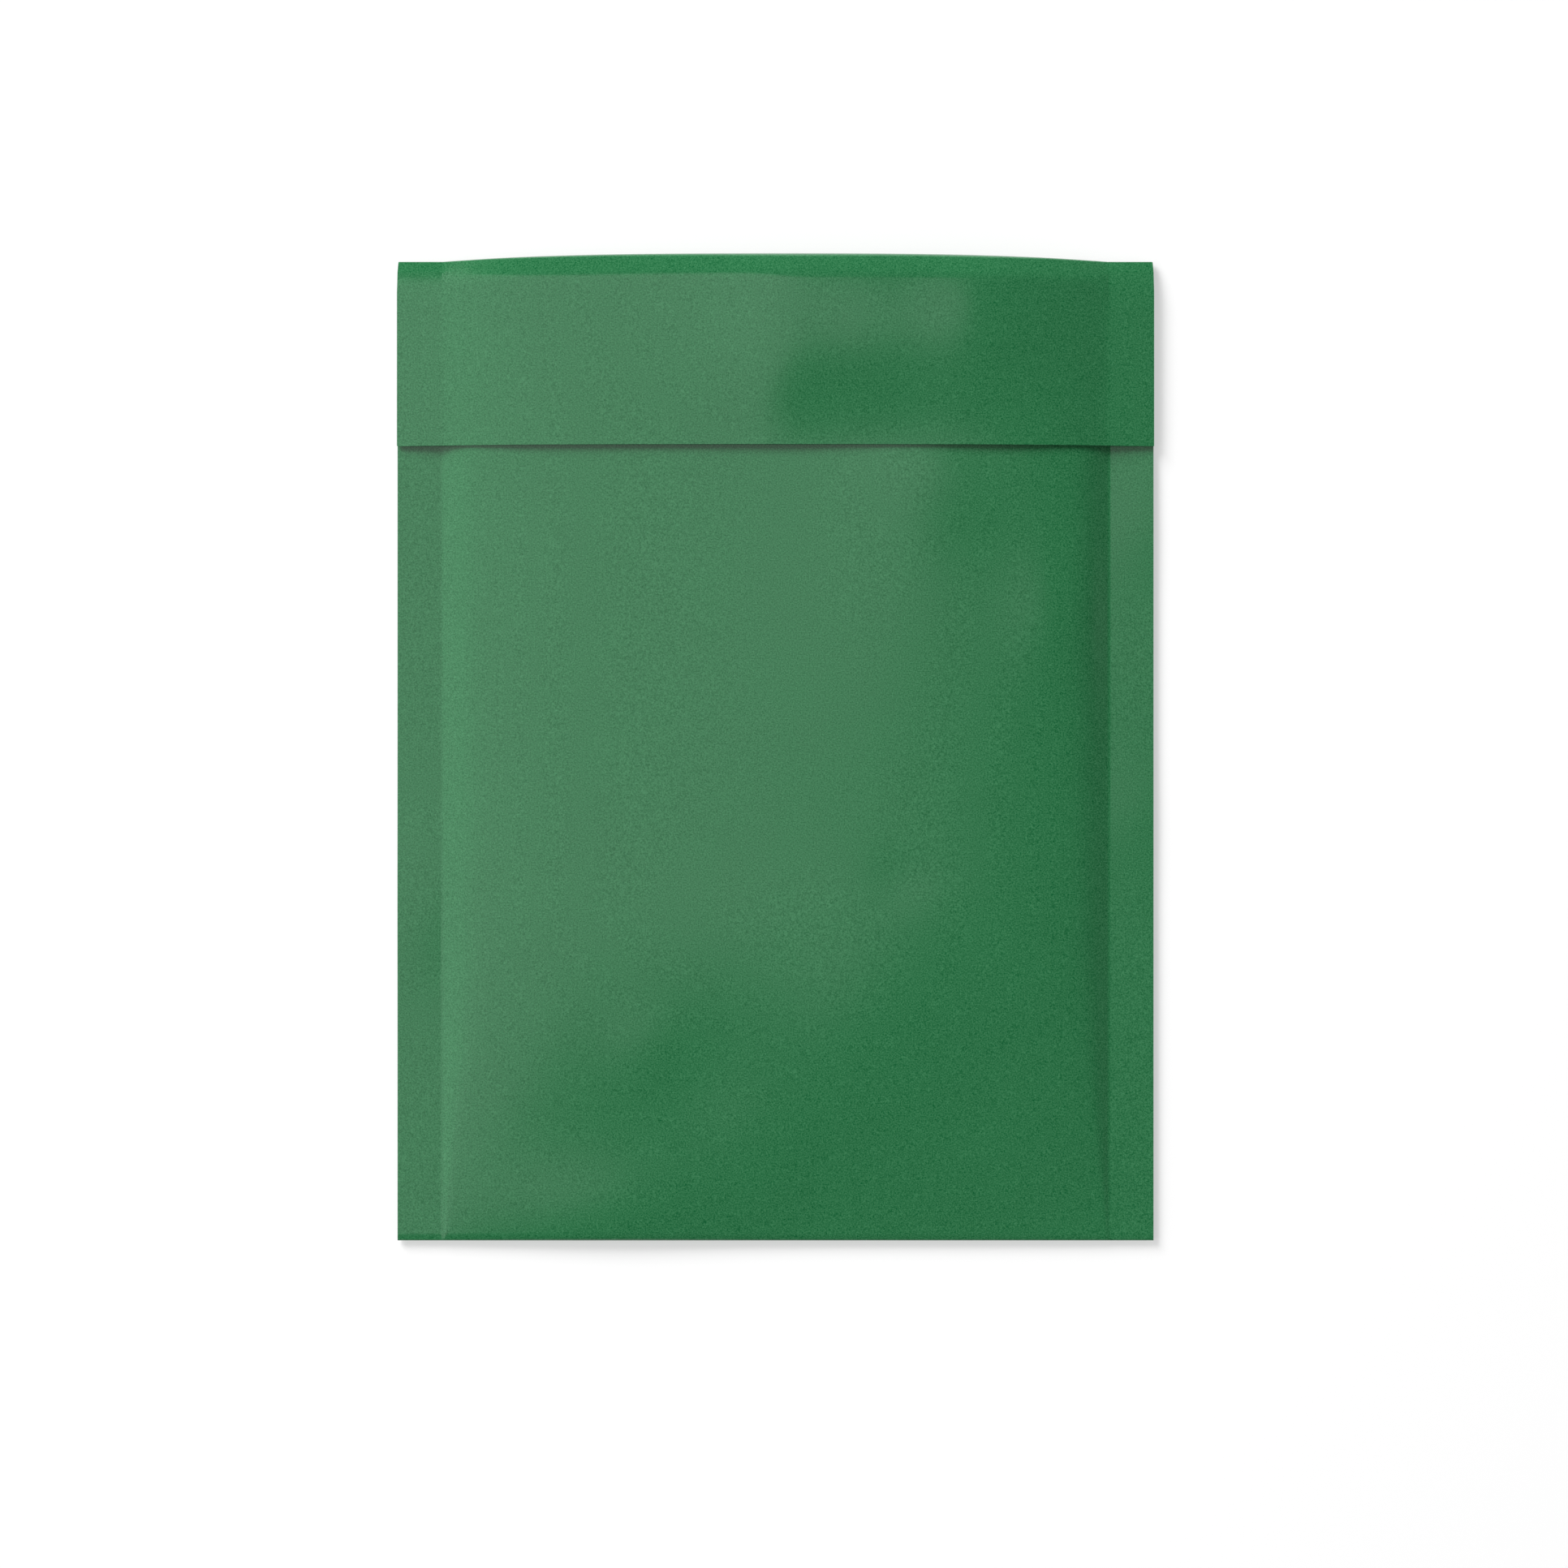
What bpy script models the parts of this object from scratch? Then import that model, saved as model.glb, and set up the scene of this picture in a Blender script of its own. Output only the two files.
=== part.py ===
"""A padded envelope, shut: one solid that lies on its back, its flap folded over the front and stuck down.

Metres, with +Z up. X runs across the envelope, +Y points to the flap's fold, and the back rests on Z = 0.
"""

import math

import bmesh
import bpy

NAME = "padded_envelope"

# Outline, as seen from the front
WIDTH = 0.170  # over both side seams
LENGTH = 0.2201  # bottom fold to flap fold, along a side
SEAM_WIDTH = 0.010  # each pressed side seam
FOLD_CROWN = 0.00174  # the flap's fold bows outwards by this in the middle
FOLD_TAPER = 0.0003  # each corner of the flap's fold draws in by this
TAPER_REACH = 0.006  # over this length from the fold
FLAP_LENGTH = 0.0415  # fold to free edge, along a side
FLAP_BOW = 0.0003  # the free edge bows towards the fold by this in the middle

# Walls
WALL = 0.0004  # paper with its lining pressed flat: a seam is two of these, the flap is one
SEAM_LIFT = 0.0009  # underside of the seams above the surface that the back lies on

# Padding of the front, above the seams
SHOULDER_SLOPE = 0.385  # rise over run beside a seam
SHOULDER_RISE = 0.00155  # height at which that slope rounds over
SHOULDER_TIGHTNESS = 6  # how tightly it does
CROWN_RISE = 0.0024  # further rise to the middle
CROWN_REACH = 0.014  # how quickly it comes
HEM_RISE = 0.0003  # rise in the middle of the bottom fold
HEM_REACH = 0.080  # the front falls to the bottom fold over this length
HEM_BEND = 1.9  # how far that fall gathers at the bottom fold

# Back panel
BACK_SIDE_REACH = 0.015  # width of the rounded strip between the flat back and a seam
BACK_END_REACH = 0.020  # the same towards either fold
BACK_HEM_LIFT = 0.0009  # the back's height in the middle of the bottom fold
BACK_FOLD_LIFT = 0.0021  # the same at the flap's fold

# Flap
FLAP_LIFT = 0.00105  # its outer face above the seams, along its sides
FLAP_SEAM_RISE = 0.00065  # rise from there to the seam lines
FLAP_RISE = 0.0033  # further rise to the middle
FLAP_REACH = 0.012  # how quickly it comes
FLAP_BEND = 1.25  # how gently it starts
FOLD_FALL = 0.0012  # it falls by this to its fold
FOLD_REACH = 0.0046  # over this length
FOLD_BEND = 1.1  # how far that fall gathers at the fold
SLIT_DEPTH = 0.008  # the strip of flap beyond the glue
SLIT_GAP = 0.0001  # the least that the free edge stands off the front
MARGIN_DEPTH = 0.030  # beside the glue, the flap is loose this far from its free edge
MARGIN_REACH = 0.006  # the glue ends over this width inside the seams

# Roundness of the folds
FOLD_ROUNDNESS = 0.16  # how far the flap's fold rounds over, as a share of its thickness
HEM_ROUNDNESS = 0.25  # the same for the bottom fold

# Fineness of the mesh
STEPS_ACROSS = 24
STEPS_BACK = 16
STEPS_FLAP = 8
STEPS_SLIT = 3
STEPS_FRONT = 16
STEPS_FOLD = 8
STEPS_HEM = 6

# Paper finish, as linear colour
PAPER_COLOUR = (0.030, 0.165, 0.068, 1.0)
PAPER_ROUGHNESS = 0.4
SMOOTH_ANGLE = math.radians(35)

HALF_WIDTH = WIDTH / 2
SEAM_LINE = HALF_WIDTH - SEAM_WIDTH
BOTTOM = -(LENGTH + FOLD_CROWN) / 2
FOLD_SIDE = BOTTOM + LENGTH
SEAM_TOP = SEAM_LIFT + 2 * WALL


def ease(share):
    """A smooth step from 0 to 1, flat before and after."""
    share = min(max(share, 0.0), 1.0)
    return share * share * (3 - 2 * share)


def dome(x, half):
    """1 in the middle, falling to 0 at the distance half and staying there."""
    return 1 - min(abs(x) / half, 1.0) ** 3


def fold_line(x):
    """Y of the flap's fold."""
    return FOLD_SIDE + FOLD_CROWN * dome(x, SEAM_LINE)


def flap_edge(x):
    """Y of the flap's free edge."""
    return FOLD_SIDE - FLAP_LENGTH + FLAP_BOW * dome(x, HALF_WIDTH)


def drawn_in(x, y):
    """X of a point, drawn in where it nears a corner of the flap's fold."""
    share = max((y - FOLD_SIDE) / TAPER_REACH + 1, 0.0)
    return x * (1 - FOLD_TAPER / HALF_WIDTH * share * share)


def front_height(x, y):
    """Z of the front panel: flat on the seams, a steep shoulder, then a slow crown that is lower at the hem."""
    from_seam = max(SEAM_LINE - abs(x), 0.0)
    near_hem = max(1 - (y - BOTTOM) / HEM_REACH, 0.0) ** HEM_BEND
    full = SHOULDER_RISE + CROWN_RISE
    left = 1 - (1 - HEM_RISE / full) * near_hem
    ramp = SHOULDER_SLOPE * from_seam
    crown = left * (full - CROWN_RISE * math.exp(-from_seam / CROWN_REACH))
    return SEAM_TOP + ramp / (1 + (ramp / crown) ** SHOULDER_TIGHTNESS) ** (1 / SHOULDER_TIGHTNESS)


def back_height(x, y):
    """Z of the back panel: flat on the surface, and rising to the seams and to both folds."""
    inwards = ease((SEAM_LINE - abs(x)) / BACK_SIDE_REACH)
    at_hem = 1 - ease((y - BOTTOM) / BACK_END_REACH)
    at_fold = 1 - ease((fold_line(x) - y) / BACK_END_REACH)
    return SEAM_LIFT * (1 - inwards) + inwards * (BACK_HEM_LIFT * at_hem + BACK_FOLD_LIFT * at_fold)


def glue_line(x):
    """Y at which the flap starts to be stuck down, much closer to its fold along both sides."""
    margin = ease((abs(x) - SEAM_LINE + MARGIN_REACH) / MARGIN_REACH)
    return flap_edge(x) + SLIT_DEPTH + (MARGIN_DEPTH - SLIT_DEPTH) * margin


def flap_height(x, y):
    """Z of the flap's outer face: it spans the shoulders, stays off the front and falls to its fold."""
    on_seam = min((HALF_WIDTH - abs(x)) / SEAM_WIDTH, 1.0)
    from_seam = max(SEAM_LINE - abs(x), 0.0)
    spanning = 1 - math.exp(-((from_seam / FLAP_REACH) ** FLAP_BEND))
    drape = FLAP_LIFT + FLAP_SEAM_RISE * on_seam + FLAP_RISE * spanning
    near_edge = max(1 - (y - flap_edge(x)) / SLIT_DEPTH, 0.0)
    resting = front_height(x, y) - SEAM_TOP + WALL + SLIT_GAP * near_edge
    near_fold = max(1 - (fold_line(x) - y) / FOLD_REACH, 0.0)
    return SEAM_TOP + max(drape, resting) - FOLD_FALL * near_fold ** FOLD_BEND


def under_flap(x):
    """Points of the slit's roof, from the free edge to the glue."""
    edge = flap_edge(x)
    points = []
    for step in range(STEPS_SLIT + 1):
        share = step / STEPS_SLIT
        y = edge + (glue_line(x) - edge) * share
        floor = front_height(x, y)
        points.append((y, floor + (flap_height(x, y) - WALL - floor) * (1 - share ** 3)))
    return points


def spread(first, last, steps):
    """Places from first to last, closer together towards both."""
    shares = [(1 - math.cos(math.pi * step / steps)) / 2 for step in range(steps + 1)]
    return [first + (last - first) * share for share in shares]


def rounded_end(x, start, reach, upper, steps):
    """Points round a fold, from the back panel to the upper face, without the points at start."""
    points = []
    for step in range(1, steps):
        angle = math.pi * step / steps
        y = start + reach * math.sin(angle)
        middle = (upper(x, y) + back_height(x, y)) / 2
        half = (upper(x, y) - back_height(x, y)) / 2
        points.append((y, middle - half * math.cos(angle)))
    return points


def section(x):
    """The closed outline at one X: up the back, over the fold, down the flap and the front, round the hem."""
    top = fold_line(x)
    fold_reach = FOLD_ROUNDNESS * (flap_height(x, top) - back_height(x, top))
    hem_reach = HEM_ROUNDNESS * (front_height(x, BOTTOM) - back_height(x, BOTTOM))
    fold_start = top - fold_reach
    hem_start = BOTTOM + hem_reach
    edge = flap_edge(x)
    outline = [(y, back_height(x, y)) for y in spread(hem_start, fold_start, STEPS_BACK)]
    outline += rounded_end(x, fold_start, fold_reach, flap_height, STEPS_FOLD)
    outline += [(y, flap_height(x, y)) for y in spread(fold_start, edge, STEPS_FLAP)]
    outline += under_flap(x)
    outline += [(y, front_height(x, y)) for y in spread(edge, hem_start, STEPS_FRONT)]
    outline += reversed(rounded_end(x, hem_start, -hem_reach, front_height, STEPS_HEM))
    return [(drawn_in(x, y), y, z) for y, z in outline]


def stations():
    """X of the sections: the sides, and places between the seam lines that crowd towards the seams."""
    inner = [SEAM_LINE * -math.cos(math.pi * step / STEPS_ACROSS) for step in range(STEPS_ACROSS + 1)]
    mid_seam = HALF_WIDTH - SEAM_WIDTH / 2
    return [-HALF_WIDTH, -mid_seam, *inner, mid_seam, HALF_WIDTH]


def loft(sections):
    """A closed mesh through outlines that all have as many points."""
    mesh = bmesh.new()
    rings = [[mesh.verts.new(point) for point in outline] for outline in sections]
    for ring, following in zip(rings, rings[1:]):
        for here in range(len(ring)):
            mesh.faces.new((ring[here - 1], ring[here], following[here], following[here - 1]))
    mesh.faces.new(rings[0])
    mesh.faces.new(rings[-1])
    bmesh.ops.recalc_face_normals(mesh, faces=mesh.faces)
    return mesh


def paper_material():
    """Smooth green paper."""
    material = bpy.data.materials.new("green_paper")
    material.use_nodes = True
    shader = material.node_tree.nodes["Principled BSDF"]
    shader.inputs["Base Color"].default_value = PAPER_COLOUR
    shader.inputs["Roughness"].default_value = PAPER_ROUGHNESS
    shader.inputs["Metallic"].default_value = 0.0
    material.diffuse_color = PAPER_COLOUR
    return material


def build_envelope(collection):
    """The envelope as one object in the given collection."""
    shape = loft([section(x) for x in stations()])
    data = bpy.data.meshes.new(NAME)
    shape.to_mesh(data)
    shape.free()
    data.materials.append(paper_material())
    data.shade_smooth()
    data.set_sharp_from_angle(angle=SMOOTH_ANGLE)
    collection.objects.link(bpy.data.objects.new(NAME, data))


def main():
    for old in list(bpy.data.objects):
        bpy.data.objects.remove(old, do_unlink=True)
    collection = bpy.data.collections.new(NAME)
    bpy.context.scene.collection.children.link(collection)
    build_envelope(collection)


main()
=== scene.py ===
"""Looks of the padded envelope: green paper with a puffed front, pressed side seams and a flap folded over.

It is laid out as an add-on and is run as a script. Metres, with +Z up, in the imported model's frame: X runs
across the envelope, +Y points to the flap's fold, and the back rests on Z = 0.
"""

import math

import bmesh
import bpy
import numpy as np
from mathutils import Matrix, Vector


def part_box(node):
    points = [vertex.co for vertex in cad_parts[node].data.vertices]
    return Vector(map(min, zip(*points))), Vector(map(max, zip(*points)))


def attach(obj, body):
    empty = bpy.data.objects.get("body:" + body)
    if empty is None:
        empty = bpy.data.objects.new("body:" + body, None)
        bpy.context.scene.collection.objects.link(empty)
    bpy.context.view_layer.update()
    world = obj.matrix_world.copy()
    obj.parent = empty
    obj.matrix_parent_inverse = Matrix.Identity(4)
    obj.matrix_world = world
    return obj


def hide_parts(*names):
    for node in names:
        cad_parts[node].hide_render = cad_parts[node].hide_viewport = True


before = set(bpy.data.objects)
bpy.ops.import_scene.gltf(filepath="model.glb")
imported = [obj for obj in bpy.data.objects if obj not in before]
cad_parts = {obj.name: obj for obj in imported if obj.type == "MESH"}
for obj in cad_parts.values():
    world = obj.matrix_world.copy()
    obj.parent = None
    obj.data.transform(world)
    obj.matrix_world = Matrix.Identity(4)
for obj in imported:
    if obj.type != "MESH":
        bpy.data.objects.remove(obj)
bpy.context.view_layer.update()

bl_info = {
    "name": "Padded Envelope",
    "version": (1, 0, 0),
    "blender": (4, 5, 0),
    "location": "View3D > Sidebar > Envelope",
    "description": "Dresses the solid of a padded envelope in paper and sets up its studio",
    "category": "Add Mesh",
}

NODE = "padded_envelope"
BODY = "root"
PAPER = "envelope_paper"
LINING = "lining_edges"

CAD_LOW, CAD_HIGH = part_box(NODE)
HALF_WIDTH = (CAD_HIGH.x - CAD_LOW.x) / 2
BOTTOM = CAD_LOW.y
FOLD_CROWN = 0.00174  # the flap's fold bows outwards by this in the middle
FOLD_SIDE = CAD_HIGH.y - FOLD_CROWN

# Slow waves of the paper: X, Y, height, radius, stretch along its own axis, turn of that axis in degrees
FRONT_SWELLS = (
    (0.022, -0.067, 0.0006, 0.020, 1.0, 0),
    (0.005, -0.050, 0.0003, 0.022, 1.8, 0),
    (0.033, 0.061, 0.0005, 0.013, 1.4, -45),
    (0.066, 0.028, 0.0005, 0.011, 1.6, 90),
    (0.028, -0.030, -0.00009, 0.007, 1.0, 0),
    (-0.028, -0.068, 0.00015, 0.009, 1.0, 0),
    (-0.036, -0.108, 0.0009, 0.014, 1.8, 0),
    (-0.002, -0.090, 0.00045, 0.013, 1.2, -30),
    (0.026, 0.040, 0.0002, 0.022, 1.8, 90),
)
FLAP_SWELLS = (
    (0.009, 0.108, 0.0016, 0.015, 2.4, 0),
    (0.015, 0.089, 0.0015, 0.015, 2.2, 0),
    (0.000, 0.097, 0.0004, 0.010, 3.0, 90),
    (0.046, 0.100, 0.0006, 0.012, 1.8, 90),
)
SEAM_SWELLS = (
    (0.082, 0.048, 0.00015, 0.012, 1.0, 0),
    (0.082, -0.016, 0.00015, 0.012, 1.0, 0),
    (-0.082, -0.034, 0.0006, 0.016, 1.2, 90),
)
SWELL_EDGE = 0.006  # the other swells die out this close to a seam line, and the seams' own take over
UNDERSIDE_BEND = 6  # how long the flap's underside keeps its distance before it meets the glue

# Fineness of the paper's mesh
CELL = 0.0015  # wherever nothing else is said
SHOULDER_START = 0.8  # the finer cells of the shoulders start at this share of the way to a seam line
SHOULDER_CELL = 0.0005
SEAM_CELL = 0.0015
STEPS_BESIDE = 4  # across a seam's first cell, beside the shoulder
STEPS_LOOSE = 12  # along the loose strip of the flap
LOOSE_CROWDING = 1.4  # how far these steps gather at its free edge
STEPS_STUCK = 26  # along the rest of the flap
STEPS_FOLD = 16  # round the flap's fold
STEPS_HEM = 8  # round the bottom fold
SHARP_ANGLE = math.radians(35)  # an edge that turns further than this stays sharp

# The photo's frame
PHOTO_SIZE = 1932  # pixels on each side
PHOTO_SCALE = 5479.0  # pixels for each metre, at the height of the seams
PHOTO_ORIGIN = (955.57, 920.75)  # the pixel of the frame's origin


def metres(name, description, value):
    """A size in metres for a property group."""
    return bpy.props.FloatProperty(
        name=name, description=description, default=value, unit="LENGTH", precision=5
    )


def number(name, description, value):
    """A plain number for a property group."""
    return bpy.props.FloatProperty(name=name, description=description, default=value, precision=4)


def colour(name, description, value):
    """A linear colour for a property group."""
    return bpy.props.FloatVectorProperty(
        name=name, description=description, default=value, subtype="COLOR", min=0, max=1
    )


class EnvelopeShape(bpy.types.PropertyGroup):
    """Sizes of the seams, the padded front, the back and the bottom fold."""

    seam_width: metres("Seam width", "Width of each pressed side seam", 0.010)
    seam_lift: metres("Seam lift", "Underside of the seams above the surface", 0.0009)
    wall: metres("Wall", "Paper with its lining pressed flat", 0.0004)
    shoulder_slope: number("Shoulder slope", "Rise over run beside a seam", 0.385)
    shoulder_rise: metres("Shoulder rise", "Height at which that slope rounds over", 0.00155)
    shoulder_tightness: number("Shoulder tightness", "How tightly it rounds over", 6.0)
    crown_rise: metres("Crown rise", "Further rise to the middle", 0.0024)
    crown_reach: metres("Crown reach", "How quickly the crown comes", 0.014)
    hem_rise: metres("Hem rise", "Rise in the middle of the bottom fold", 0.0003)
    hem_reach: metres("Hem reach", "Length over which the front falls to the bottom fold", 0.080)
    hem_bend: number("Hem bend", "How far that fall gathers at the bottom fold", 1.9)
    back_side_reach: metres("Back side reach", "Rounded strip between the flat back and a seam", 0.015)
    back_end_reach: metres("Back end reach", "The same towards either fold", 0.020)
    back_hem_lift: metres("Back hem lift", "The back's height in the middle of the bottom fold", 0.0009)
    back_fold_lift: metres("Back fold lift", "The same at the flap's fold", 0.0021)
    hem_roundness: number("Hem roundness", "How far the bottom fold rounds over", 0.25)
    relief: number("Relief", "Strength of the paper's slow waves", 1.0)


class FlapShape(bpy.types.PropertyGroup):
    """Sizes of the flap, its fold and the slit under it."""

    length: metres("Length", "Fold to free edge, along a side", 0.0415)
    bow: metres("Bow", "The free edge bows towards the fold in the middle", 0.0003)
    thickness: metres("Thickness", "Paper at the free edge", 0.00035)
    overhang: metres("Overhang", "How far the flap is wider than the body, each side", 0.0001)
    lift: metres("Lift", "Outer face above the seams, along its sides", 0.00105)
    seam_rise: metres("Seam rise", "Rise from there to the seam lines", 0.00065)
    rise: metres("Rise", "Further rise to the middle", 0.0033)
    reach: metres("Reach", "How quickly that rise comes", 0.012)
    bend: number("Bend", "How gently that rise starts", 1.25)
    fold_fall: metres("Fold fall", "The flap falls by this to its fold", 0.0012)
    fold_reach: metres("Fold reach", "Length of that fall", 0.0046)
    fold_bend: number("Fold bend", "How far that fall gathers at the fold", 1.1)
    fold_roundness: number("Fold roundness", "How far the fold rounds over", 0.16)
    fold_taper: metres("Fold taper", "Each corner of the fold draws in by this", 0.0003)
    taper_reach: metres("Taper reach", "Length of that taper", 0.006)
    slit_depth: metres("Slit depth", "Strip of flap beyond the glue", 0.008)
    slit_gap: metres("Slit gap", "The least that the free edge stands off the front", 0.0001)
    margin_depth: metres("Margin depth", "Beside the glue, the flap is loose this far", 0.039)
    margin_reach: metres("Margin reach", "Width over which the glue ends inside the seams", 0.006)


class PaperFinish(bpy.types.PropertyGroup):
    """Finish of the paper and of the lining's edge."""

    tint: colour("Paper", "Colour of the paper", (0.0208, 0.1296, 0.0488))
    roughness: number("Roughness", "Roughness of the paper's satin face", 0.15)
    roughness_change: number("Roughness change", "How far the clouds change it", 0.015)
    grain_size: metres("Grain size", "Size of the paper's grain", 0.0003)
    grain_shade: number("Grain shade", "How far the grain changes the colour", 0.6)
    grain_fleck: number("Grain fleck", "How far it adds to or takes from all colours alike", 0.028)
    grain_height: metres("Grain height", "Height of the grain's tooth", 0.0000015)
    cloud_size: metres("Cloud size", "Size of the soft clouds in the colour", 0.014)
    cloud_shade: number("Cloud shade", "How far the clouds change the colour", 0.05)
    film_tint: colour("Film", "Colour of the lining's pressed edge", (0.42, 0.46, 0.43))
    film_shade: number("Film shade", "How far its streaks change that colour", 0.2)
    film_roughness: number("Film roughness", "Roughness of the lining", 0.4)
    film_roughness_change: number("Film roughness change", "How far its streaks change it", 0.1)
    streak_size: metres("Streak size", "Size of the film's streaks", 0.002)
    film_gap: metres("Film gap", "Room between the lining's edge and the paper", 0.00004)
    groove_depth: metres("Groove depth", "The lining ends this far inside a seam's edge", 0.0004)
    groove_share: number("Groove share", "Share of a seam's thickness that the lining takes", 0.36)


class Studio(bpy.types.PropertyGroup):
    """The stage, its lights and the camera."""

    floor_size: metres("Floor size", "Side of the square floor", 8.0)
    floor_gap: metres("Floor gap", "The floor lies this far below the envelope", 0.00005)
    floor_tint: number("Floor tint", "How much light the floor gives back", 0.4)
    floor_glow: number("Floor glow", "Light that comes through the floor", 0.485)
    softbox_height: metres("Softbox height", "Height of the broad light overhead", 2.4)
    softbox_turn: bpy.props.FloatProperty(
        name="Softbox turn",
        description="Direction that its near side faces",
        default=math.radians(-42.2),
        subtype="ANGLE",
    )
    softbox_near: metres("Softbox near side", "Where its bright part ends on that side", 0.05)
    softbox_rim: metres("Softbox rim", "Width of the dimmer rim beyond it", 0.08)
    softbox_rim_share: number("Rim share", "The rim's brightness as a share of the middle's", 0.4)
    softbox_deep: metres("Softbox deep side", "Where its brightest part starts on the other side", 0.25)
    softbox_deep_share: number("Deep share", "That part's brightness as a share of the middle's", 1.12)
    softbox_far: metres("Softbox far side", "How far it reaches on that side", 2.9)
    softbox_right: metres("Softbox right side", "How far it reaches to the upper right", 0.40)
    softbox_left: metres("Softbox left side", "How far it reaches to the lower left", 3.4)
    softbox_glow: number("Softbox glow", "Radiance of its face", 1.04)
    key_side: number("Key side", "How far left of the envelope the key light is, over its height", 1.0)
    key_front: number("Key front", "How far beyond the flap's fold it is, over its height", 1.2)
    key_distance: metres("Key distance", "Distance of the key light", 6.0)
    key_size: metres("Key size", "Side of the key light", 3.15)
    key_glow: number("Key glow", "Radiance of its face", 18.6)
    sky_glow: number("Sky glow", "Light from above, around the softbox", 0.05)
    wall_glow: number("Wall glow", "Light of the pale walls all round", 1.0)
    wall_top: number("Wall top", "Sine of the elevation up to which the walls are bright", 0.45)
    wall_end: number("Wall end", "Sine of the elevation at which they have faded out", 0.75)
    lens: bpy.props.FloatProperty(
        name="Lens", description="Focal length of the camera", default=200.0, unit="CAMERA"
    )


class Value:
    """A shader value on which Python expressions work, each adding its Math node."""

    def __init__(self, graph, socket):
        self.graph = graph
        self.socket = socket

    def worked(self, operation, first, second):
        """The result of a Math node on two values or numbers."""
        node = self.graph.node("ShaderNodeMath", {"operation": operation}, {0: first, 1: second})
        return Value(self.graph, node.outputs[0])

    def __add__(self, other):
        return self.worked("ADD", self, other)

    def __radd__(self, other):
        return self.worked("ADD", other, self)

    def __sub__(self, other):
        return self.worked("SUBTRACT", self, other)

    def __rsub__(self, other):
        return self.worked("SUBTRACT", other, self)

    def __mul__(self, other):
        return self.worked("MULTIPLY", self, other)

    def __rmul__(self, other):
        return self.worked("MULTIPLY", other, self)


class Graph:
    """A node tree, and the one way to add a node to it."""

    def __init__(self, tree):
        self.tree = tree
        self.tree.nodes.clear()

    def node(self, kind, settings, inputs):
        """Adds a node: its settings first, then the values or links of its sockets."""
        made = self.tree.nodes.new(kind)
        for name, value in settings.items():
            setattr(made, name, value)
        for name, value in inputs.items():
            source = value.socket if isinstance(value, Value) else value
            if isinstance(source, bpy.types.NodeSocket):
                self.tree.links.new(source, made.inputs[name])
            else:
                made.inputs[name].default_value = source
        return made

    def noise(self, place, size, detail):
        """Soft noise from 0 to 1 with features of the given size."""
        settings = {"noise_dimensions": "3D"}
        inputs = {"Vector": place, "Scale": 1 / size, "Detail": detail, "Roughness": 0.5}
        return Value(self, self.node("ShaderNodeTexNoise", settings, inputs).outputs["Fac"])

    def scaled(self, tint, value):
        """A colour times a value."""
        made = self.node("ShaderNodeVectorMath", {"operation": "SCALE"}, {0: tint, "Scale": value})
        return made.outputs[0]


def ease(share):
    """A smooth step from 0 to 1, flat before and after."""
    share = np.clip(share, 0.0, 1.0)
    return share * share * (3 - 2 * share)


def dome(x, half):
    """1 in the middle, falling to 0 at the distance half and staying there."""
    return 1 - np.minimum(np.abs(x) / half, 1.0) ** 3


def swelling(x, y, swells):
    """Height that the paper's slow waves add."""
    total = np.zeros_like(x)
    for middle_x, middle_y, height, radius, stretch, turn in swells:
        cosine = math.cos(math.radians(turn))
        sine = math.sin(math.radians(turn))
        along = ((x - middle_x) * cosine + (y - middle_y) * sine) / (radius * stretch)
        across = ((y - middle_y) * cosine - (x - middle_x) * sine) / radius
        total += height * np.exp(-along ** 2 - across ** 2)
    return total


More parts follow.
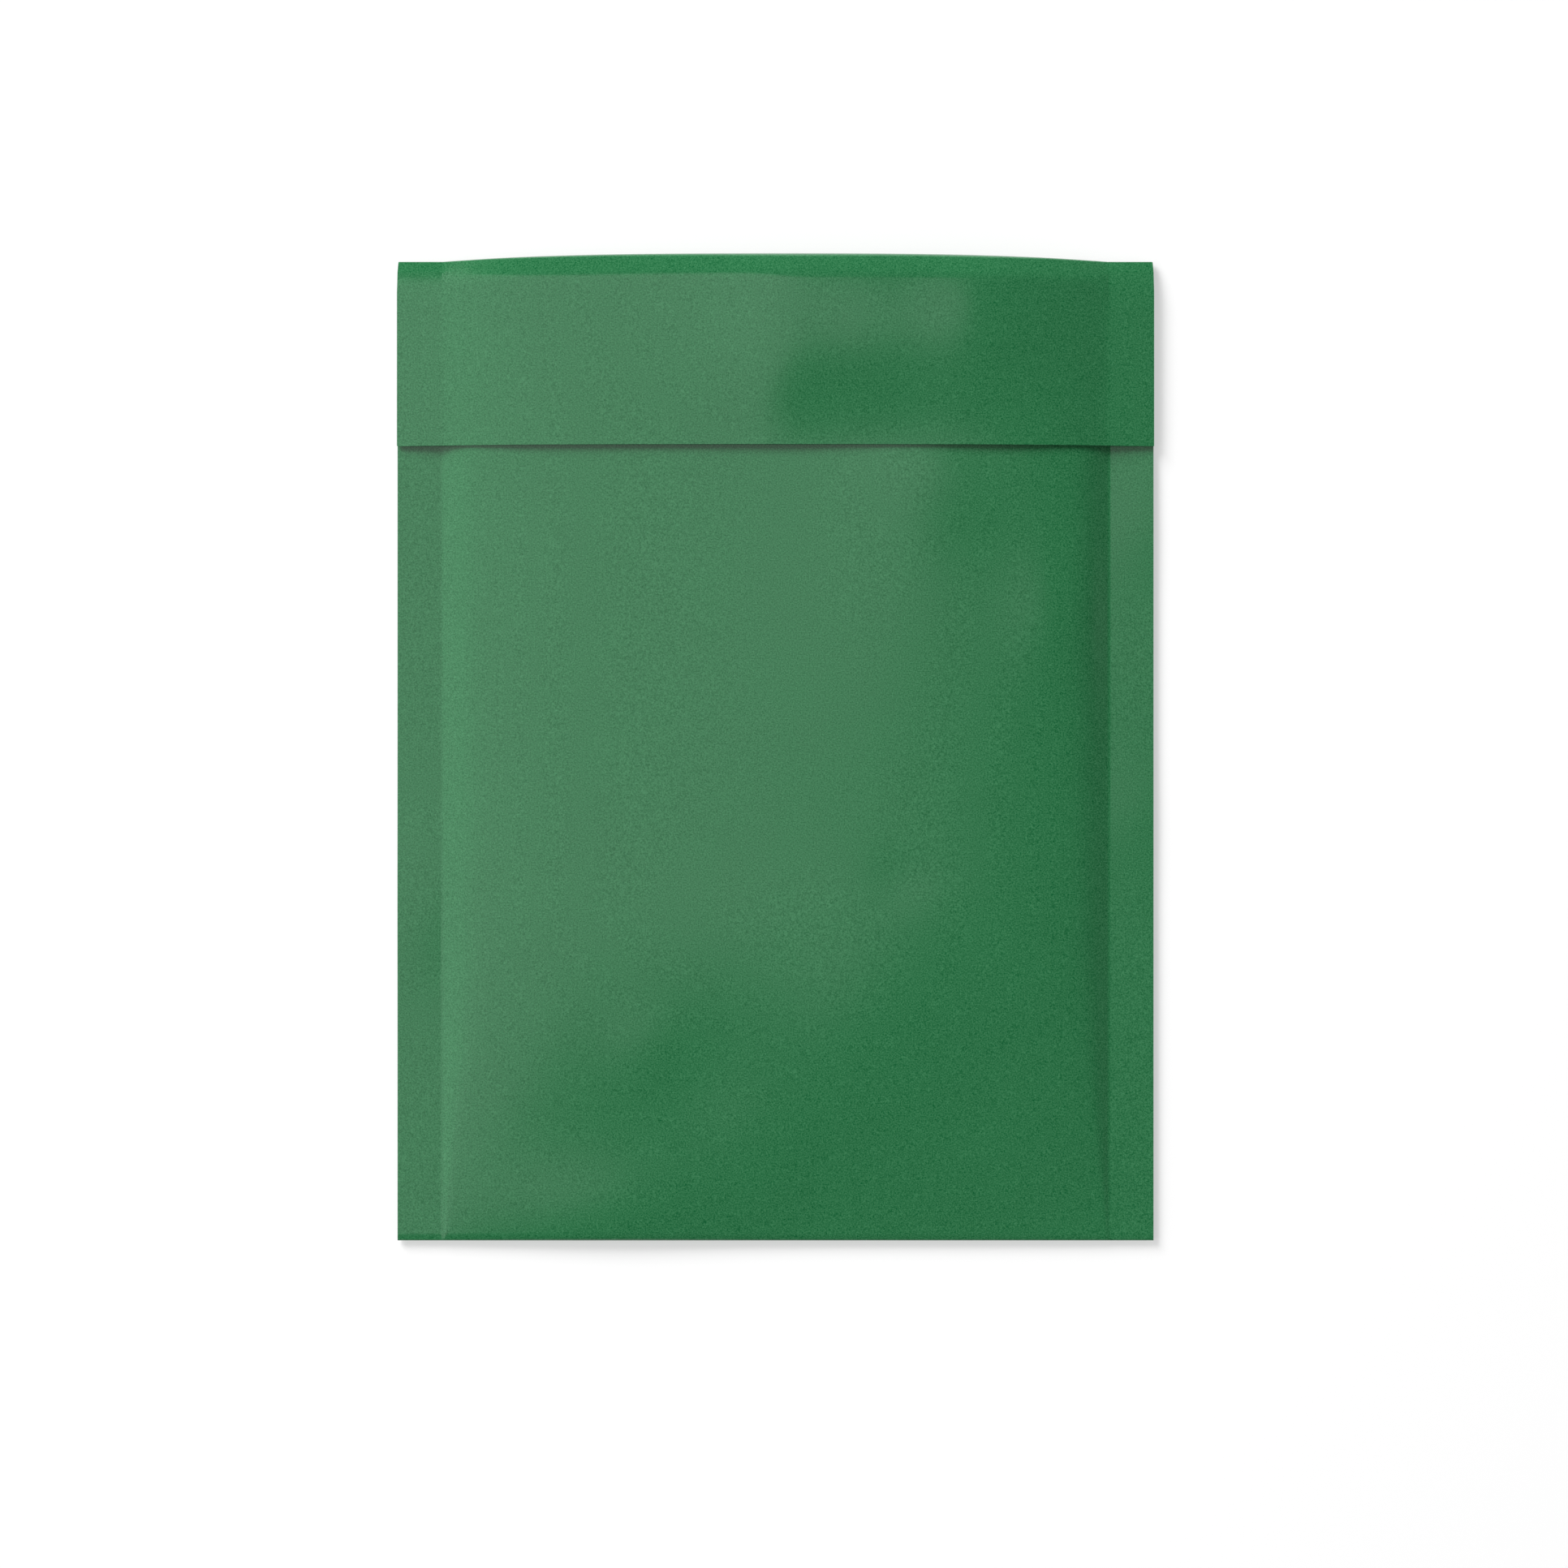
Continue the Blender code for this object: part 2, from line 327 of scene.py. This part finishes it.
class Form:
    """The envelope's surfaces as formulas in X and Y, on arrays."""

    def __init__(self, shape, flap):
        self.shape = shape
        self.flap = flap
        self.seam_line = HALF_WIDTH - shape.seam_width
        self.seam_top = shape.seam_lift + 2 * shape.wall

    def fold_line(self, x):
        """Y of the flap's fold."""
        return FOLD_SIDE + FOLD_CROWN * dome(x, self.seam_line)

    def flap_edge(self, x):
        """Y of the flap's free edge."""
        return FOLD_SIDE - self.flap.length + self.flap.bow * dome(x, HALF_WIDTH)

    def drawn_in(self, x, y):
        """X of a point, drawn in where it nears a corner of the flap's fold."""
        share = np.maximum((y - FOLD_SIDE) / self.flap.taper_reach + 1, 0.0)
        return x * (1 - self.flap.fold_taper / HALF_WIDTH * share * share)

    def padding(self, x, y):
        """Rise of the front above the seams, without its waves."""
        shape = self.shape
        from_seam = np.maximum(self.seam_line - np.abs(x), 0.0)
        near_hem = np.maximum(1 - (y - BOTTOM) / shape.hem_reach, 0.0) ** shape.hem_bend
        full = shape.shoulder_rise + shape.crown_rise
        left = 1 - (1 - shape.hem_rise / full) * near_hem
        ramp = shape.shoulder_slope * from_seam
        crown = left * (full - shape.crown_rise * np.exp(-from_seam / shape.crown_reach))
        tightness = shape.shoulder_tightness
        return ramp / (1 + (ramp / crown) ** tightness) ** (1 / tightness)

    def front_height(self, x, y):
        """Z of the front panel."""
        from_seam = np.maximum(self.seam_line - np.abs(x), 0.0)
        inside = 1 - np.exp(-from_seam / SWELL_EDGE)
        waves = swelling(x, y, FRONT_SWELLS) * inside + swelling(x, y, SEAM_SWELLS) * (1 - inside)
        return self.seam_top + self.padding(x, y) + self.shape.relief * waves

    def back_height(self, x, y):
        """Z of the back panel: flat on the surface, and rising to the seams and to both folds."""
        shape = self.shape
        inwards = ease((self.seam_line - np.abs(x)) / shape.back_side_reach)
        at_hem = 1 - ease((y - BOTTOM) / shape.back_end_reach)
        at_fold = 1 - ease((self.fold_line(x) - y) / shape.back_end_reach)
        lift = shape.back_hem_lift * at_hem + shape.back_fold_lift * at_fold
        return shape.seam_lift * (1 - inwards) + inwards * lift

    def glue_line(self, x):
        """Y at which the flap starts to be stuck down, much closer to its fold along both sides."""
        flap = self.flap
        margin = ease((np.abs(x) - self.seam_line + flap.margin_reach) / flap.margin_reach)
        return self.flap_edge(x) + flap.slit_depth + (flap.margin_depth - flap.slit_depth) * margin

    def flap_height(self, x, y):
        """Z of the flap's outer face: it spans the shoulders, stays off the front and falls to its fold."""
        flap = self.flap
        on_seam = np.clip((HALF_WIDTH - np.abs(x)) / self.shape.seam_width, 0.0, 1.0)
        from_seam = np.maximum(self.seam_line - np.abs(x), 0.0)
        spanning = 1 - np.exp(-(from_seam / flap.reach) ** flap.bend)
        waves = self.shape.relief * swelling(x, y, FLAP_SWELLS) * (1 - np.exp(-from_seam / SWELL_EDGE))
        drape = self.seam_top + flap.lift + flap.seam_rise * on_seam + flap.rise * spanning + waves
        near_edge = np.maximum(1 - (y - self.flap_edge(x)) / flap.slit_depth, 0.0)
        resting = self.front_height(x, y) + flap.thickness + flap.slit_gap * near_edge
        near_fold = np.maximum(1 - (self.fold_line(x) - y) / flap.fold_reach, 0.0)
        return np.maximum(drape, resting) - flap.fold_fall * near_fold ** flap.fold_bend


def between(first, last, shares):
    """Rows of places from first to last, one row for each station."""
    return first[:, None] + (last - first)[:, None] * shares[None, :]


def rounded_end(form, x, start, reach, upper, steps):
    """Rows of points round a fold, from the back panel to the upper face, without the points at start."""
    angles = np.pi * np.arange(1, steps) / steps
    y = start[:, None] + reach[:, None] * np.sin(angles)[None, :]
    across = np.broadcast_to(x[:, None], y.shape)
    high = upper(across, y)
    low = form.back_height(across, y)
    return y, (high + low) / 2 - (high - low) / 2 * np.cos(angles)[None, :]


def stations(seam_line):
    """X of the sections, closer together on the shoulders and at the seam lines."""
    shoulder = seam_line * SHOULDER_START
    inner = np.linspace(0, shoulder, round(shoulder / CELL) + 1)
    steep = np.linspace(shoulder, seam_line, round((seam_line - shoulder) / SHOULDER_CELL) + 1)
    start = seam_line + SEAM_CELL
    beside = np.linspace(seam_line, start, STEPS_BESIDE + 1)
    seam = np.linspace(start, HALF_WIDTH, round((HALF_WIDTH - start) / SEAM_CELL) + 1)
    right = np.concatenate([inner, steep[1:], beside[1:], seam[1:]])
    return np.concatenate([-right[:0:-1], right])


class Rings:
    """The closed outline of every section, and where each stretch of it lies in a ring."""

    def __init__(self, form):
        x = stations(form.seam_line)
        self.form = form
        self.x = x
        top = form.fold_line(x)
        hem = np.full_like(x, BOTTOM)
        fold_reach = form.flap.fold_roundness * (form.flap_height(x, top) - form.back_height(x, top))
        hem_reach = form.shape.hem_roundness * (form.front_height(x, hem) - form.back_height(x, hem))
        edge = form.flap_edge(x)
        glue = form.glue_line(x)
        count = round((FOLD_SIDE - form.flap.length - BOTTOM) / CELL)
        even = np.arange(count + 1) / count
        loose = (np.arange(STEPS_LOOSE + 1) / STEPS_LOOSE) ** LOOSE_CROWDING
        stuck = np.sin(np.pi / 2 * np.arange(STEPS_STUCK + 1) / STEPS_STUCK)
        front_y = between(hem + hem_reach, edge, even)
        loose_y = between(edge, glue, loose)
        stuck_y = between(glue, top - fold_reach, stuck)
        self.parts = []
        self.spans = {}
        self.add("back", np.hstack([front_y[:, :-1], loose_y[:, :-1], stuck_y]), form.back_height)
        fold_y, fold_z = rounded_end(form, x, top - fold_reach, fold_reach, form.flap_height, STEPS_FOLD)
        self.add_points("fold", fold_y, fold_z)
        self.add("outer", np.hstack([stuck_y[:, ::-1], loose_y[:, -2::-1]]), form.flap_height, widened=True)
        self.add("under", loose_y, self.under_flap, widened=True)
        self.add("covered", loose_y[:, -2::-1], form.front_height)
        self.add("front", front_y[:, -2::-1], form.front_height)
        hem_y, hem_z = rounded_end(form, x, hem + hem_reach, -hem_reach, form.front_height, STEPS_HEM)
        self.add_points("hem", hem_y[:, ::-1], hem_z[:, ::-1])

    def under_flap(self, x, y):
        """Z of the flap's underside, which meets the front at the glue."""
        form = self.form
        edge = form.flap_edge(x)
        share = (y - edge) / (form.glue_line(x) - edge)
        floor = form.front_height(x, y)
        clear = form.flap_height(x, y) - form.flap.thickness - floor
        return floor + clear * (1 - share ** UNDERSIDE_BEND)

    def add(self, name, y, height, widened=False):
        """Adds a stretch whose height is a formula."""
        x = np.broadcast_to(self.x[:, None], y.shape)
        self.add_points(name, y, height(x, y), widened)

    def add_points(self, name, y, z, widened=False):
        """Adds a stretch of ready points."""
        start = sum(part.shape[1] for part in self.parts)
        self.spans[name] = np.arange(start, start + y.shape[1])
        x = np.broadcast_to(self.x[:, None], y.shape)
        wider = 1 + self.form.flap.overhang / HALF_WIDTH if widened else 1.0
        self.parts.append(np.stack([self.form.drawn_in(x, y) * wider, y, z], axis=-1))

    def points(self):
        """All points as stations by ring places by three."""
        return np.concatenate(self.parts, axis=1)


def wall_faces(count, size):
    """Quads between neighbouring rings."""
    ring = np.arange(count - 1)[:, None] * size
    here = np.arange(size)[None, :]
    after = (here + 1) % size
    corners = [ring + here, ring + size + here, ring + size + after, ring + after]
    return np.stack(corners, axis=-1).reshape(-1, 4)


def side_cap(mesh, ring, inset, share):
    """Closes one side: the seam's edge with the lining's groove in it, the flap's edge and both folds."""
    back = ring["back"]
    outer = ring["outer"][::-1]
    under = ring["under"]
    upper = ring["front"][::-1] + ring["covered"][::-1] + [under[-1]]
    lower = back[: len(upper)]
    # The groove runs along the middle of the seam's edge
    lip_low, deep_low, deep_high, lip_high = [], [], [], []
    for low, high in zip(lower, upper):
        wall = (high.co.z - low.co.z) * (1 - share) / 2
        floor = low.co.z + wall
        roof = high.co.z - wall
        lip_low.append(mesh.verts.new((low.co.x, low.co.y, floor)))
        deep_low.append(mesh.verts.new((low.co.x + inset, low.co.y, floor)))
        deep_high.append(mesh.verts.new((low.co.x + inset, low.co.y, roof)))
        lip_high.append(mesh.verts.new((low.co.x, low.co.y, roof)))
    lines = [lower, lip_low, deep_low, deep_high, lip_high, upper]
    for low, high in zip(lines, lines[1:]):
        for i in range(len(low) - 1):
            mesh.faces.new((low[i], low[i + 1], high[i + 1], high[i]))
    for end in (0, -1):
        mesh.faces.new((lip_low[end], deep_low[end], deep_high[end], lip_high[end]))
    # The loose strip of the flap, then its stuck part down to the back, and the folds at both ends
    loose = outer[: len(under)]
    for i in range(len(under) - 1):
        mesh.faces.new((under[i], under[i + 1], loose[i + 1], loose[i]))
    stuck = outer[len(under) - 1 :]
    base = back[len(upper) - 1 :]
    mesh.faces.new((base[0], lip_low[-1], lip_high[-1], upper[-1], stuck[0], stuck[1], base[1]))
    for i in range(1, len(base) - 1):
        mesh.faces.new((base[i], base[i + 1], stuck[i + 1], stuck[i]))
    mesh.faces.new((base[-1], *ring["fold"], stuck[-1]))
    mesh.faces.new((lower[0], lip_low[0], lip_high[0], upper[0], *ring["hem"]))


def new_object(name, mesh, material):
    """An object in the scene from a finished bmesh, shaded smooth apart from its sharp edges."""
    bmesh.ops.recalc_face_normals(mesh, faces=mesh.faces)
    data = bpy.data.meshes.new(name)
    mesh.to_mesh(data)
    mesh.free()
    data.materials.append(material)
    data.shade_smooth()
    data.set_sharp_from_angle(angle=SHARP_ANGLE)
    made = bpy.data.objects.new(name, data)
    bpy.context.scene.collection.objects.link(made)
    return made


def new_material(name):
    """An empty node material and the graph that fills it."""
    material = bpy.data.materials.new(name)
    material.use_nodes = True
    return material, Graph(material.node_tree)


def swing(noise):
    """Noise from 0 to 1 turned into a swing from -1 to 1."""
    return (noise - 0.5) * 2


def paper_material(finish):
    """Satin green paper: a fine grain in colour and height, and faint clouds."""
    material, graph = new_material("green_paper_finish")
    place = graph.node("ShaderNodeTexCoord", {}, {}).outputs["Object"]
    grain = graph.noise(place, finish.grain_size, 2.0)
    bump = graph.node("ShaderNodeBump", {}, {"Distance": finish.grain_height, "Height": grain})
    speckle = swing(grain)
    clouds = swing(graph.noise(place, finish.cloud_size, 3.0))
    shade = 1 + speckle * finish.grain_shade + clouds * finish.cloud_shade
    tint = graph.scaled(tuple(finish.tint), shade)
    flecks = graph.scaled((1.0, 1.0, 1.0), speckle * finish.grain_fleck)
    flecked = graph.node("ShaderNodeVectorMath", {"operation": "ADD"}, {0: tint, 1: flecks})
    surface = graph.node("ShaderNodeBsdfPrincipled", {}, {
        "Base Color": flecked.outputs[0],
        "Roughness": finish.roughness + clouds * finish.roughness_change,
        "Normal": bump.outputs[0],
    })
    graph.node("ShaderNodeOutputMaterial", {}, {"Surface": surface.outputs[0]})
    return material


def film_material(finish):
    """Pressed bubble film, milky and uneven."""
    material, graph = new_material("lining_film")
    place = graph.node("ShaderNodeTexCoord", {}, {}).outputs["Object"]
    streaks = swing(graph.noise(place, finish.streak_size, 2.0))
    surface = graph.node("ShaderNodeBsdfPrincipled", {}, {
        "Base Color": graph.scaled(tuple(finish.film_tint), 1 + streaks * finish.film_shade),
        "Roughness": finish.film_roughness + streaks * finish.film_roughness_change,
    })
    graph.node("ShaderNodeOutputMaterial", {}, {"Surface": surface.outputs[0]})
    return material


class ENVELOPE_OT_paper(bpy.types.Operator):
    """Build the paper: back, front and flap as one folded web that stands for the solid"""

    bl_idname = "envelope.paper"
    bl_label = "Paper"

    def execute(self, context):
        settings = context.scene
        rings = Rings(Form(settings.envelope_shape, settings.envelope_flap))
        points = rings.points()
        count, size = points.shape[:2]
        mesh = bmesh.new()
        verts = [mesh.verts.new(point) for point in points.reshape(-1, 3).tolist()]
        for a, b, c, d in wall_faces(count, size).tolist():
            mesh.faces.new((verts[a], verts[b], verts[c], verts[d]))
        finish = settings.envelope_finish
        for offset, inset in ((0, finish.groove_depth), ((count - 1) * size, -finish.groove_depth)):
            ring = {name: [verts[offset + i] for i in span] for name, span in rings.spans.items()}
            side_cap(mesh, ring, inset, finish.groove_share)
        piece = new_object(PAPER, mesh, paper_material(finish))
        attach(piece, BODY)
        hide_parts(NODE)
        return {"FINISHED"}


class ENVELOPE_OT_lining(bpy.types.Operator):
    """Build the lining's pressed edges, which show as a thin line in both side seams"""

    bl_idname = "envelope.lining"
    bl_label = "Lining"

    def execute(self, context):
        finish = context.scene.envelope_finish
        form = Form(context.scene.envelope_shape, context.scene.envelope_flap)
        first = BOTTOM + form.shape.seam_width / 2
        last = FOLD_SIDE - form.flap.fold_reach
        y = np.linspace(first, last, round((last - first) / CELL) + 1)
        mesh = bmesh.new()
        for side in (-HALF_WIDTH, HALF_WIDTH):
            x = np.full_like(y, side)
            low, high = form.back_height(x, y), form.front_height(x, y)
            half = (high - low) * finish.groove_share / 2 - finish.film_gap
            bottom, top = (low + high) / 2 - half, (low + high) / 2 + half
            outer = side - math.copysign(finish.film_gap, side)
            inner = side - math.copysign(finish.groove_depth - finish.film_gap, side)
            corners = ((outer, bottom), (inner, bottom), (inner, top), (outer, top))
            lines = [[mesh.verts.new((across, *point)) for point in zip(y, z)] for across, z in corners]
            for line, following in zip(lines, lines[1:] + lines[:1]):
                for i in range(len(y) - 1):
                    mesh.faces.new((line[i], line[i + 1], following[i + 1], following[i]))
            for end in (0, -1):
                mesh.faces.new([line[end] for line in lines])
        piece = new_object(LINING, mesh, film_material(finish))
        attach(piece, BODY)
        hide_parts(NODE)
        return {"FINISHED"}


def area_light(name, place, size, radiance):
    """A flat light that faces down its own -Z and is hidden from the camera itself."""
    data = bpy.data.lights.new(name, "AREA")
    data.shape = "RECTANGLE"
    data.size, data.size_y = size
    data.energy = radiance * math.pi * size[0] * size[1]
    light = bpy.data.objects.new(name, data)
    light.location = place
    light.visible_camera = False
    bpy.context.scene.collection.objects.link(light)
    return light


class ENVELOPE_OT_stage(bpy.types.Operator):
    """Set up the pale floor, the studio lights and the camera straight above"""

    bl_idname = "envelope.stage"
    bl_label = "Stage"

    def execute(self, context):
        studio = context.scene.envelope_studio
        self.add_floor(studio)
        self.add_softbox(studio)
        self.add_key(studio)
        self.light_sky(studio)
        self.add_camera(studio, context.scene.envelope_shape)
        context.scene.view_settings.view_transform = "Standard"
        return {"FINISHED"}

    def add_floor(self, studio):
        """A floor lit from below as well, so that it is white and its shadows are soft."""
        half = studio.floor_size / 2
        mesh = bmesh.new()
        corners = [(-half, -half), (half, -half), (half, half), (-half, half)]
        mesh.faces.new([mesh.verts.new((x, y, -studio.floor_gap)) for x, y in corners])
        material, graph = new_material("floor_finish")
        surface = graph.node("ShaderNodeBsdfPrincipled", {}, {
            "Base Color": (studio.floor_tint, studio.floor_tint, studio.floor_tint, 1.0),
            "Roughness": 1.0,
            "Specular IOR Level": 0.0,
            "Emission Color": (1.0, 1.0, 1.0, 1.0),
            "Emission Strength": studio.floor_glow,
        })
        graph.node("ShaderNodeOutputMaterial", {}, {"Surface": surface.outputs[0]})
        new_object("floor", mesh, material)

    def add_softbox(self, studio):
        """The broad light overhead, whose reflection lies on the paper as a soft veil."""
        turn = studio.softbox_turn
        across = studio.softbox_right + studio.softbox_left
        sideways = (studio.softbox_right - studio.softbox_left) / 2
        near = studio.softbox_near
        parts = (
            ("softbox_deep", -studio.softbox_far, -studio.softbox_deep, studio.softbox_deep_share),
            ("softbox", -studio.softbox_deep, near, 1.0),
            ("softbox_rim", near, near + studio.softbox_rim, studio.softbox_rim_share),
        )
        for name, start, end, share in parts:
            middle = (start + end) / 2
            place = (
                middle * math.cos(turn) - sideways * math.sin(turn),
                middle * math.sin(turn) + sideways * math.cos(turn),
                studio.softbox_height,
            )
            light = area_light(name, place, (end - start, across), studio.softbox_glow * share)
            light.rotation_euler = (0.0, 0.0, turn)

    def add_key(self, studio):
        """The key light at the upper left, which throws the short shadows but isn't mirrored in the paper."""
        direction = np.array((-studio.key_side, studio.key_front, 1.0))
        place = direction / np.linalg.norm(direction) * studio.key_distance
        light = area_light("key", tuple(place), (studio.key_size, studio.key_size), studio.key_glow)
        light.rotation_euler = (-light.location).to_track_quat("-Z", "Y").to_euler()
        light.visible_glossy = False

    def light_sky(self, studio):
        """Pale walls all round, and a dim ceiling."""
        world = bpy.data.worlds.new("studio")
        world.use_nodes = True
        graph = Graph(world.node_tree)
        direction = graph.node("ShaderNodeTexCoord", {}, {}).outputs["Generated"]
        height = graph.node("ShaderNodeSeparateXYZ", {}, {0: direction}).outputs["Z"]
        glow = graph.node("ShaderNodeMapRange", {"interpolation_type": "SMOOTHSTEP"}, {
            "Value": height,
            "From Min": studio.wall_top,
            "From Max": studio.wall_end,
            "To Min": studio.wall_glow,
            "To Max": studio.sky_glow,
        })
        background = graph.node("ShaderNodeBackground", {}, {"Strength": glow.outputs[0]})
        graph.node("ShaderNodeOutputWorld", {}, {"Surface": background.outputs[0]})
        bpy.context.scene.world = world

    def add_camera(self, studio, shape):
        """The camera straight above, framed as the photo is."""
        data = bpy.data.cameras.new("camera")
        data.lens = studio.lens
        camera = bpy.data.objects.new("camera", data)
        distance = PHOTO_SIZE / PHOTO_SCALE * data.lens / data.sensor_width
        camera.location = (
            (PHOTO_SIZE / 2 - PHOTO_ORIGIN[0]) / PHOTO_SCALE,
            (PHOTO_ORIGIN[1] - PHOTO_SIZE / 2) / PHOTO_SCALE,
            shape.seam_lift + 2 * shape.wall + distance,
        )
        bpy.context.scene.collection.objects.link(camera)
        bpy.context.scene.camera = camera


class ENVELOPE_PT_panel(bpy.types.Panel):
    """Sizes and finishes of the envelope, and the steps that build it"""

    bl_idname = "ENVELOPE_PT_panel"
    bl_label = "Padded Envelope"
    bl_space_type = "VIEW_3D"
    bl_region_type = "UI"
    bl_category = "Envelope"

    def draw(self, context):
        for group in PROPERTY_GROUPS:
            settings = getattr(context.scene, group)
            column = self.layout.column(align=True)
            for name in settings.__annotations__:
                column.prop(settings, name)
        for operator in OPERATORS:
            self.layout.operator(operator.bl_idname)


PROPERTY_GROUPS = {
    "envelope_shape": EnvelopeShape,
    "envelope_flap": FlapShape,
    "envelope_finish": PaperFinish,
    "envelope_studio": Studio,
}
OPERATORS = (ENVELOPE_OT_paper, ENVELOPE_OT_lining, ENVELOPE_OT_stage)


def register():
    """Makes the classes and their settings known to Blender."""
    for cls in (*PROPERTY_GROUPS.values(), *OPERATORS, ENVELOPE_PT_panel):
        bpy.utils.register_class(cls)
    for name, group in PROPERTY_GROUPS.items():
        setattr(bpy.types.Scene, name, bpy.props.PointerProperty(type=group))


def unregister():
    """Takes them away again."""
    for name in PROPERTY_GROUPS:
        delattr(bpy.types.Scene, name)
    for cls in (ENVELOPE_PT_panel, *OPERATORS[::-1], *PROPERTY_GROUPS.values()):
        bpy.utils.unregister_class(cls)


def main():
    """Builds the envelope and its studio."""
    register()
    bpy.ops.envelope.paper()
    bpy.ops.envelope.lining()
    bpy.ops.envelope.stage()


if __name__ == "__main__":
    main()
